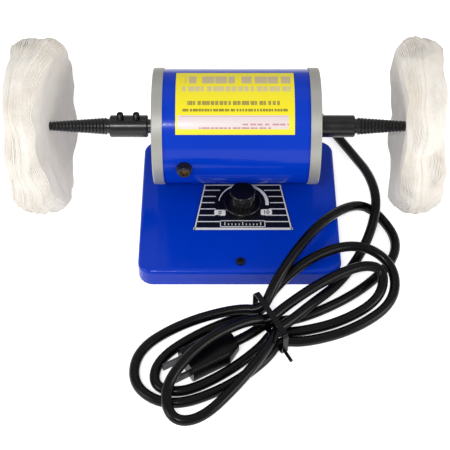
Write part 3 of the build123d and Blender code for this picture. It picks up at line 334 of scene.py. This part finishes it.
# The mains lead

CORD = 7.2
CORD_LOW = CORD / 2 + 0.2
RELIEF_X, RELIEF_END, RELIEF_RISE = 8.0, 58.6, 9.8
WAIST = (23.0, -131.0)
WAIST_TURN = radians(28)
STRAND_PITCH = 8.4
PLUG_REAR, PLUG_TURN, PLUG_RISE = 28.0, radians(210), 7.8
PLUG_RUN = 0.55
# A loop is a long drop: narrow at the tie and full near its far end.
DROP_FULL, DROP_SIDES, DROP_TIP = 1.28, 0.6, 0.8

FREE_ROUTE = [
    (RELIEF_X, RELIEF_END, RELIEF_RISE), (RELIEF_X, 75, RELIEF_RISE), (16.5, 91, 8), (33, 99.5, 5.2),
    (50, 96, CORD_LOW), (65, 82, CORD_LOW), (79, 58, CORD_LOW), (92, 32, 5.5), (102, 4, 13),
    (105, -25, 16.5), (99, -50, 12.5), (88, -73, 8.5), (72, -97, 9), (53, -116, 13), (36, -132, 13),
]
# Each strand at the tie: how many pitches to the side, and its rise above a strand that lies on the bench.
WAIST_SLOTS = {
    "entry": (-1.0, 9.2), "small_right": (0.05, 9.4), "small_left": (-0.5, 1.8), "wide_right": (1.55, 1.8),
    "wide_left": (-1.5, 1.8), "tall_right": (1.1, 9.6), "plug": (0.5, 1.8),
}
# Direction and reach of each loop, its half width going out and coming back, the slots it leaves and comes
# back to, and the heights of its points.
LOOPS = [
    (229, 101, 13, 20, "entry", "small_right", (13.5, 12.6, 7.4, 9, 14, 23, 20)),
    (27, 92, 8.5, 16.5, "small_right", "small_left", (15.3, 20.5, 21, 16, 9, 4, 4.4)),
    (210.5, 92, 14.9, 15.2, "small_left", "wide_right", (4.4, 4, 4, 4, 4, 4, 4.4)),
    (28, 101.5, 22, 23, "wide_right", "wide_left", (16, 25.5, 22.5, 14, 8, 4, 4.4)),
    (207, 104, 24.4, 25, "wide_left", "tall_right", (4.4, 4, 4, 4, 4, 8, 12.6)),
    (53, 136, 11, 38, "tall_right", "plug", (25, 33, 20, 4, 4, 4, 4.4)),
]


def waist_point(name):
    """Where a strand passes the tie."""
    across, rise = WAIST_SLOTS[name]
    shift = across * STRAND_PITCH
    return (WAIST[0] - shift * sin(WAIST_TURN), WAIST[1] + shift * cos(WAIST_TURN), CORD_LOW + rise)


def loop_points(direction, reach, half_out, half_back, start, end, heights):
    """Points round one loop of the bundle, between two slots at the tie."""
    ahead = (cos(radians(direction)), sin(radians(direction)))
    steps = len(heights) + 1
    points = []
    for i, height in enumerate(heights):
        angle = 2 * pi * (i + 1) / steps
        along = reach * (1 - cos(angle)) / 2
        half = half_out if 2 * (i + 1) < steps else half_back
        bulge = DROP_FULL * abs(sin(angle)) ** DROP_SIDES * sin(angle / 2) ** DROP_TIP
        side = half * copysign(bulge, sin(angle))
        share = 0.0 if 2 * (i + 1) < steps else 0.5 if 2 * (i + 1) == steps else 1.0
        slot = (1 - share) * WAIST_SLOTS[start][0] + share * WAIST_SLOTS[end][0]
        shift = slot * STRAND_PITCH * cos(angle / 2) ** 2
        points.append((WAIST[0] + along * ahead[0] - side * ahead[1] - shift * sin(WAIST_TURN),
                       WAIST[1] + along * ahead[1] + side * ahead[0] + shift * cos(WAIST_TURN), height))
    return points


def plug_point(along):
    """A point on the plug's middle line, from the tie."""
    return (WAIST[0] + along * cos(PLUG_TURN), WAIST[1] + along * sin(PLUG_TURN), PLUG_RISE)


def lay_lead():
    """The whole lead from the strain relief to the plug, one smooth line."""
    route = FREE_ROUTE + [waist_point("entry")]
    for loop in LOOPS:
        route += loop_points(*loop)
        route.append(waist_point(loop[5]))
    route += [plug_point(PLUG_RUN * PLUG_REAR), plug_point(PLUG_REAR)]
    data = bpy.data.curves.new("mains_lead", "CURVE")
    data.dimensions = "3D"
    data.bevel_depth = CORD / 2 * MM
    data.bevel_resolution = 5
    data.resolution_u = 8
    data.use_fill_caps = True
    spline = data.splines.new("NURBS")
    spline.points.add(len(route) - 1)
    for control, point in zip(spline.points, route):
        control.co = (*place(*point), 1)
    spline.order_u = 3
    spline.use_endpoint_u = True
    lead = bpy.data.objects.new("mains_lead", data)
    bpy.context.scene.collection.objects.link(lead)
    data.materials.append(pvc)
    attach(lead, "machine")
    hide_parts("mains_cord", "cord_hank")


# Modelling helpers

def deselect():
    """Nothing selected, so that an operator acts only on the new piece."""
    if bpy.context.object and bpy.context.object.mode != "OBJECT":
        bpy.ops.object.mode_set(mode="OBJECT")
    bpy.ops.object.select_all(action="DESELECT")


def set_place():
    """Put the place, turn and size of the piece in hand into its mesh."""
    bpy.ops.object.transform_apply(location=True, rotation=True, scale=True)


def add_modifier(piece, kind, **settings):
    """Add a modifier with its settings."""
    made = piece.modifiers.new(kind.lower(), kind)
    for name, value in settings.items():
        setattr(made, name, value)


def apply_modifiers(piece):
    """Apply a piece's modifiers in order."""
    bpy.context.view_layer.objects.active = piece
    for modifier in list(piece.modifiers):
        bpy.ops.object.modifier_apply(modifier=modifier.name)


def join(pieces, name):
    """Join pieces into one, with its place in its mesh."""
    deselect()
    for piece in pieces:
        piece.select_set(True)
    bpy.context.view_layer.objects.active = pieces[0]
    bpy.ops.object.join()
    made = bpy.context.object
    set_place()
    made.name = name
    made.data.name = name
    return made


# Cotton buffs

BUFF_RADIUS = 62.5
BUFF_ROUND = 7.0
HUB_HALF = 6.0
FAN_START = 48.0
ROUND_CURVE, FAN_CURVE, LOOSE_CURVE = 3, 1.4, 1.5
PLY_RINGS = (3.0, 7, 12, 18, 24, 30, 36, 42, 47, 51, 55, 58, 60.5, 62.5)
PLY_POINTS = 96
PLY_FILL = 0.95
RAGGED = 1.0
RAGGED_MIDDLE = 0.7
LOOSE_FROM, LOOSE_REACH = 9.0, 50.0
FOLD_SIZE, FOLD_HEIGHT = 30.0, 10.0
RIPPLE_SIZE, RIPPLE_HEIGHT = 11.0, 3.0
SMOOTH_BELOW = radians(50)
# The left buff leans to the camera, and the cloths lie closest where they face it.
LEAN_RISE = radians(50)
FRONT = Vector((0, -cos(LEAN_RISE), sin(LEAN_RISE)))


def cloud_texture(name, size, depth):
    """A smooth three-dimensional noise for displacement."""
    made = bpy.data.textures.new(name, "CLOUDS")
    made.noise_scale = size * MM
    made.noise_depth = depth
    return made


def weigh(ply, name, weight):
    """A vertex group with a weight worked out from each point's place."""
    group = ply.vertex_groups.new(name=name)
    for vertex in ply.data.vertices:
        group.add([vertex.index], weight(vertex.co), "REPLACE")


def buff_ply(center, normal, share, half_width, fan, thickness, trim, folds, ripples):
    """One cloth disc: rings drawn out from the bore, fanned to its place at the rim, and rumpled."""

    def half_at(radius):
        """Half the width of the stack at a radius."""
        return HUB_HALF + (half_width - HUB_HALF) * min(1.0, radius / FAN_START) ** FAN_CURVE

    def looseness(point):
        """How free the cloth is: nought in the sewn hub, one at the rim."""
        share_out = ((point - center).length / MM - LOOSE_FROM) / LOOSE_REACH
        return min(1.0, max(0.0, share_out)) ** LOOSE_CURVE

    def spread(point):
        """Where the cloths fan out further: the rim, but not its front and back."""
        outward = point - center
        outward -= normal * outward.dot(normal)
        return looseness(point) * (1 - outward.normalized().dot(FRONT) ** 2)

    def fullness(point):
        """Share of the thickest cloth, so that the plies fill the stack at every radius."""
        return (half_at((point - center).length / MM) + fan * spread(point)) / (half_width + fan)

    edge = BUFF_RADIUS - BUFF_ROUND * abs(share) ** ROUND_CURVE - trim
    middle = center + normal * share * HUB_HALF * MM
    deselect()
    bpy.ops.mesh.primitive_circle_add(vertices=PLY_POINTS, radius=PLY_RINGS[0] * MM, fill_type="NOTHING",
                                      location=middle, rotation=normal.to_track_quat("Z", "Y").to_euler())
    ply = bpy.context.object
    set_place()
    bpy.ops.object.mode_set(mode="EDIT")
    bpy.ops.mesh.select_all(action="SELECT")
    last, last_half = PLY_RINGS[0], HUB_HALF
    for ring in PLY_RINGS[1:]:
        reach = ring * edge / BUFF_RADIUS
        half = half_at(ring)
        step = normal * share * (half - last_half) * MM
        bpy.ops.mesh.extrude_edges_move()
        bpy.ops.transform.resize(value=(reach / last,) * 3, center_override=middle)
        bpy.ops.transform.translate(value=step)
        middle = middle + step
        last, last_half = reach, half
    bpy.ops.object.mode_set(mode="OBJECT")

    weigh(ply, "loose", looseness)
    weigh(ply, "spread", spread)
    weigh(ply, "full", fullness)
    add_modifier(ply, "DISPLACE", direction="X", strength=share * fan * MM, mid_level=0.0,
                 vertex_group="spread")
    add_modifier(ply, "DISPLACE", texture=folds, texture_coords="LOCAL", direction="X",
                 strength=FOLD_HEIGHT * MM, mid_level=0.5, vertex_group="loose")
    for axis in ("Y", "Z"):
        add_modifier(ply, "DISPLACE", texture=ripples, texture_coords="LOCAL", direction=axis,
                     strength=RIPPLE_HEIGHT * MM, mid_level=0.5, vertex_group="loose")
    add_modifier(ply, "SOLIDIFY", thickness=thickness * MM, offset=0, vertex_group="full")
    apply_modifiers(ply)
    return ply


def model_buff(name, node, lean, half_width, fan, count):
    """A buff of loose cotton discs, sewn at the hub, fanned out at the rim and widest away from the front."""
    low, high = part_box(node)
    center = (low + high) / 2
    normal = Vector((cos(lean), 0, 0)) + FRONT * sin(lean)
    thickness = PLY_FILL * 2 * (half_width + fan) / count
    folds = cloud_texture(name + "_folds", FOLD_SIZE, 1)
    ripples = cloud_texture(name + "_rim", RIPPLE_SIZE, 2)
    uneven = Random(count)
    plies = [buff_ply(center, normal, -1 + 2 * i / (count - 1), half_width, fan, thickness,
                      RAGGED * (uneven.random() - RAGGED_MIDDLE), folds, ripples) for i in range(count)]
    buff = join(plies, name)
    bpy.ops.object.shade_smooth_by_angle(angle=SMOOTH_BELOW)
    dress(buff, muslin)
    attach(buff, "rotor")
    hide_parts(node)


# Dial printing

DIAL_X = 5.2
DIAL_BACK, DIAL_FRONT = -9.8, -54.1
DIAL_HALF_BACK, DIAL_HALF_FRONT = 28.8, 36.0
DIAL_TOP = 17.9
INK = 0.06
BORDER_INSET = 0.9
BORDER_WIDTHS = (0.8, 0.9, 2.0, 0.9)
RULES, RULE_PITCH, RULE_WIDTH, RULE_MARGIN = 6, 6.1, 0.8, 1.5
SCALE_MIDDLE = (4.9, -28.3)
SCALE_ROOM = 20.5
TAB_ROOM = 15.6
# Radius of the arc's two circles and how far each is shifted, which makes the arc swell to the right.
ARC_CIRCLES = ((17.0, 0.0), (18.6, 0.9))
ARC_TILT = radians(83)
ARC_POINTS = 160
TAB_WIDTH, TAB_DEPTH, TAB_CORNER = 8.2, 5.6, 1.2
LOW_TAB, HIGH_TAB = (-11.6, -37.9), (22.4, -37.4)
FIGURE_SIZE, FIGURE_WEIGHT = 4.6, 0.12
TICK_BOX = [(-11.2, -45.6), (21.1, -45.6), (21.1, -51.2), (-11.2, -51.2)]
TICKS, TICK_LEFT, TICK_SPAN = 11, -8.0, 26.0
TICK_FOOT, TICK_TOP, LONG_TICK_TOP = -49.9, -48.2, -46.9
TICK_WIDTH = 0.6


def dial_half(y):
    """Half the width of the dial plate at a distance in front of the shaft."""
    share = (y - DIAL_BACK) / (DIAL_FRONT - DIAL_BACK)
    return DIAL_HALF_BACK + share * (DIAL_HALF_FRONT - DIAL_HALF_BACK)


def raise_ink():
    """Give the flat print in hand its thickness, with its faces outwards."""
    bpy.ops.object.mode_set(mode="EDIT")
    bpy.ops.mesh.select_all(action="SELECT")
    bpy.ops.mesh.extrude_region_move(TRANSFORM_OT_translate={"value": (0, 0, INK * MM)})
    bpy.ops.mesh.select_all(action="SELECT")
    bpy.ops.mesh.normals_make_consistent(inside=False)
    bpy.ops.object.mode_set(mode="OBJECT")
    return bpy.context.object


def ink_strip(start, end, width):
    """A printed line from one point of the dial to another."""
    a, b = Vector(start), Vector(end)
    middle = (a + b) / 2
    deselect()
    bpy.ops.mesh.primitive_plane_add(size=1, location=place(*middle, DIAL_TOP),
                                     rotation=(0, 0, atan2(b.y - a.y, b.x - a.x)))
    bpy.context.object.scale = ((b - a).length * MM, width * MM, 1)
    set_place()
    return raise_ink()


def ink_arc():
    """The speed scale: a ring between two circles that aren't quite concentric, its lower half cut away."""
    rings = []
    for radius, shift in ARC_CIRCLES:
        deselect()
        bpy.ops.mesh.primitive_circle_add(vertices=ARC_POINTS, radius=radius * MM, fill_type="NOTHING",
                                          location=place(SCALE_MIDDLE[0] + shift, SCALE_MIDDLE[1], DIAL_TOP))
        rings.append(bpy.context.object)
    join(rings, "speed_arc")
    bpy.ops.object.mode_set(mode="EDIT")
    bpy.ops.mesh.select_all(action="SELECT")
    bpy.ops.mesh.bridge_edge_loops()
    bpy.ops.mesh.select_all(action="SELECT")
    bpy.ops.mesh.bisect(plane_co=place(*SCALE_MIDDLE, DIAL_TOP), plane_no=(cos(ARC_TILT), sin(ARC_TILT), 0),
                        clear_inner=True)
    bpy.ops.object.mode_set(mode="OBJECT")
    return raise_ink()


def ink_tab(x, y):
    """A rounded white tab."""
    deselect()
    bpy.ops.mesh.primitive_plane_add(size=1, location=place(x, y, DIAL_TOP))
    bpy.context.object.scale = (TAB_WIDTH * MM, TAB_DEPTH * MM, 1)
    set_place()
    bpy.ops.object.mode_set(mode="EDIT")
    bpy.ops.mesh.select_all(action="SELECT")
    bpy.ops.mesh.bevel(offset=TAB_CORNER * MM, segments=4, affect="VERTICES")
    bpy.ops.object.mode_set(mode="OBJECT")
    return raise_ink()


def ink_number(text, x, y):
    """A plain figure on a tab."""
    deselect()
    bpy.ops.object.text_add(location=place(x, y, DIAL_TOP + INK))
    figure = bpy.context.object
    figure.data.body = text
    figure.data.size = FIGURE_SIZE * MM
    figure.data.align_x = "CENTER"
    figure.data.align_y = "CENTER"
    figure.data.extrude = INK / 2 * MM
    figure.data.offset = FIGURE_WEIGHT * MM
    bpy.ops.object.convert(target="MESH")
    return bpy.context.object


def dial_border():
    """Four strips just inside the plate's edge."""
    corners = [(DIAL_X - DIAL_HALF_BACK, DIAL_BACK), (DIAL_X + DIAL_HALF_BACK, DIAL_BACK),
               (DIAL_X + DIAL_HALF_FRONT, DIAL_FRONT), (DIAL_X - DIAL_HALF_FRONT, DIAL_FRONT)]
    strips = []
    for i, width in enumerate(BORDER_WIDTHS):
        a, b = Vector(corners[i]), Vector(corners[(i + 1) % 4])
        inward = Vector(((b - a).y, -(b - a).x)).normalized() * BORDER_INSET
        strips.append(ink_strip(a + inward, b + inward, width))
    return strips


def dial_lines():
    """Rules across the plate, which stop short of the speed scale and its tabs."""
    strips = []
    for i in range(RULES):
        y = DIAL_BACK - RULE_PITCH * (i + 1)
        half = dial_half(y) - RULE_MARGIN
        clear = max(TAB_ROOM, max(0.0, SCALE_ROOM ** 2 - (y - SCALE_MIDDLE[1]) ** 2) ** 0.5)
        for side in (-1, 1):
            start = (SCALE_MIDDLE[0] + side * clear, y)
            strips.append(ink_strip(start, (DIAL_X + side * half, y), RULE_WIDTH))
    return strips


def tick_box():
    """A framed row of ticks at the front of the plate, every fifth one long."""
    strips = [ink_strip(TICK_BOX[i], TICK_BOX[(i + 1) % 4], TICK_WIDTH) for i in range(4)]
    for i in range(TICKS):
        x = TICK_LEFT + TICK_SPAN * i / (TICKS - 1)
        strips.append(ink_strip((x, TICK_FOOT), (x, LONG_TICK_TOP if i % 5 == 0 else TICK_TOP), TICK_WIDTH))
    return strips


def print_dial():
    """Border, rules, speed arc and numbered end tabs of the dial."""
    rules = join(dial_border() + dial_lines() + tick_box(), "dial_rules")
    dress(rules, dial_silver)
    scale = join([ink_arc(), ink_tab(*LOW_TAB), ink_tab(*HIGH_TAB)], "dial_scale")
    dress(scale, dial_white)
    figures = join([ink_number("0", *LOW_TAB), ink_number("10", *HIGH_TAB)], "dial_figures")
    dress(figures, dial_black)
    for piece in (rules, scale, figures):
        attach(piece, "machine")


# Knob pointer

POINTER_WIDTH, POINTER_LENGTH, POINTER_HEIGHT = 1.1, 8.6, 0.45
POINTER_OUT = 4.5
POINTER_SINK = 0.3
POINTER_EDGE = 0.15


def model_pointer():
    """The knob's pointer: a black strip that fills the groove in its top."""
    knob_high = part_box("speed_knob")[1]
    deselect()
    bpy.ops.mesh.primitive_cube_add(size=1)
    strip = bpy.context.object
    strip.scale = (POINTER_WIDTH * MM, POINTER_LENGTH * MM, POINTER_HEIGHT * MM)
    strip.location = (KNOB.x, KNOB.y + POINTER_OUT * MM, knob_high.z - POINTER_SINK * MM)
    set_place()
    add_modifier(strip, "BEVEL", width=POINTER_EDGE * MM, segments=2)
    apply_modifiers(strip)
    strip.name = "knob_pointer"
    dress(strip, knob_gloss)
    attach(strip, "knob")


# Floor and surroundings

# The floor's size and how far it lies under the feet, in metres.
FLOOR_SIZE = 6.0
FLOOR_DROP = 0.0002
FLOOR_GLOW = 0.65
ROOM_LIGHT = (1.0, 0.975, 0.945, 1.0)
ROOM_STRENGTH = 0.46
PURE_WHITE = (1.0, 1.0, 1.0, 1.0)


def either(tree, *outputs):
    """One where any of these light path outputs is one."""
    seen = outputs[0]
    for output in outputs[1:]:
        seen = add(tree, "Math", {0: seen, 1: output}, operation="MAXIMUM").outputs[0]
    return seen


def lay_floor():
    """White paper that looks bright to the camera and in reflections, and keeps the machine's shadow."""
    deselect()
    bpy.ops.mesh.primitive_plane_add(size=FLOOR_SIZE, location=(0, 0, -FLOOR_DROP))
    floor = bpy.context.object
    floor.name = "floor"
    made, tree = start_material("white_paper_sweep")
    path = add(tree, "LightPath").outputs
    seen = either(tree, path["Is Camera Ray"], path["Is Glossy Ray"], path["Is Transmission Ray"])
    paper = add(tree, "BsdfDiffuse", {"Color": PURE_WHITE})
    glow = add(tree, "Emission", {"Color": PURE_WHITE, "Strength": FLOOR_GLOW})
    both = add(tree, "AddShader", {0: paper.outputs[0], 1: glow.outputs[0]})
    mixed = add(tree, "MixShader", {0: seen, 1: paper.outputs[0], 2: both.outputs[0]})
    add(tree, "OutputMaterial", {"Surface": mixed.outputs[0]})
    floor.data.materials.append(made)


def set_room():
    """Surroundings that look white and light the machine softly."""
    world = bpy.data.worlds.new("studio")
    world.use_nodes = True
    tree = world.node_tree
    tree.nodes.clear()
    path = add(tree, "LightPath").outputs
    seen = either(tree, path["Is Camera Ray"], path["Is Transmission Ray"])
    dim = add(tree, "Background", {"Color": ROOM_LIGHT, "Strength": ROOM_STRENGTH})
    bright = add(tree, "Background", {"Color": PURE_WHITE, "Strength": 1.0})
    mixed = add(tree, "MixShader", {0: seen, 1: dim.outputs[0], 2: bright.outputs[0]})
    add(tree, "OutputWorld", {"Surface": mixed.outputs[0]})
    bpy.context.scene.world = world
    bpy.context.scene.view_settings.view_transform = "Standard"


set_camera()
lay_floor()
set_room()
for lamp in LAMPS:
    set_lamp(*lamp)
lay_lead()
model_buff("left_buff_cloth", "left_buff", lean=radians(6.5), half_width=10.0, fan=7.5, count=30)
model_buff("right_buff_cloth", "right_buff", lean=radians(1.7), half_width=12.7, fan=2.8, count=34)
print_dial()
model_pointer()
